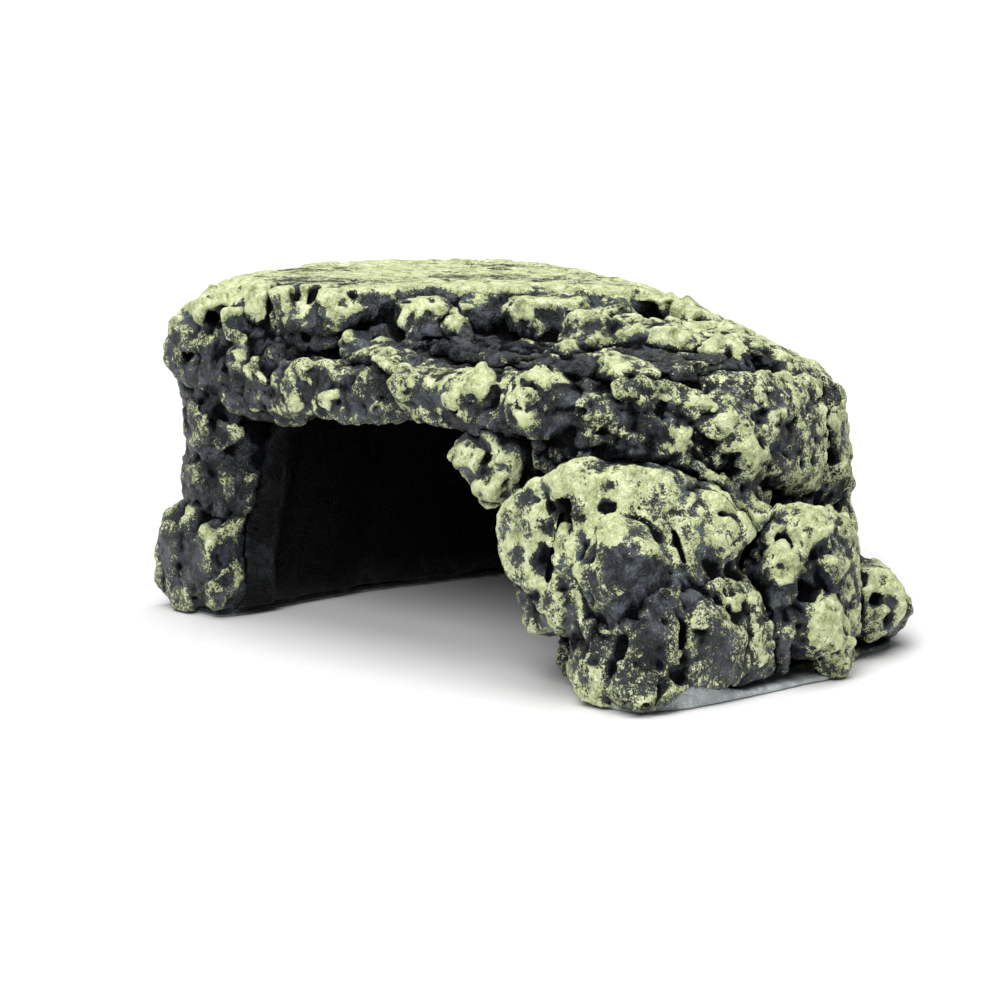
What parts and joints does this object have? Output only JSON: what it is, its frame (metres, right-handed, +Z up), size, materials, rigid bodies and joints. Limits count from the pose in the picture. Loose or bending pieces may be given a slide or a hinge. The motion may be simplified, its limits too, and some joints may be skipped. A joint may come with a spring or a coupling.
{
  "type": "resin cave ornament",
  "caption": "Hollow horseshoe rock cave with one wide mouth and a closed back, built of separate rock masses bonded to an arch on a flat rim, for small aquarium animals to hide in.",
  "frame": {"origin": "centre of the footprint on the resting plane", "axes": "+Z up from the resting plane; +X along the mouth side, from the slim left pier to the heavy right pier, the longest extent; +Y from the mouth into the cave"},
  "size_m": [0.11, 0.1, 0.05],
  "materials": {
    "painted_rock": "dark slate polyresin, dry-brushed yellow-green on every raised area, semi-gloss in the recesses",
    "dark_rock": "near-black slate polyresin, semi-gloss, little dry-brushing",
    "bare_resin": "pale unpainted cast resin, ground flat"
  },
  "bodies": {
    "root": {"base_rim": "bare_resin", "cave_shell": "dark_rock", "roof_slab": "painted_rock", "rear_roof_rock": "painted_rock", "shoulder_slab": "painted_rock", "left_cornice_rock": "painted_rock", "brow_ledge": "painted_rock", "upper_knob_ledge": "painted_rock", "lintel_ledge": "painted_rock", "hanging_rock": "painted_rock", "strata_block": "painted_rock", "front_boulder": "painted_rock", "front_foot_rock": "painted_rock", "side_rock": "painted_rock", "rear_foot_rock": "painted_rock", "right_mid_rock": "painted_rock", "right_shoulder_rock": "painted_rock", "right_rear_rock": "painted_rock", "left_jamb_rock": "painted_rock", "left_foot_rock": "painted_rock", "left_side_rock": "painted_rock", "left_rear_rock": "painted_rock", "back_left_rock": "painted_rock", "back_right_rock": "painted_rock"}
  },
  "joints": []
}
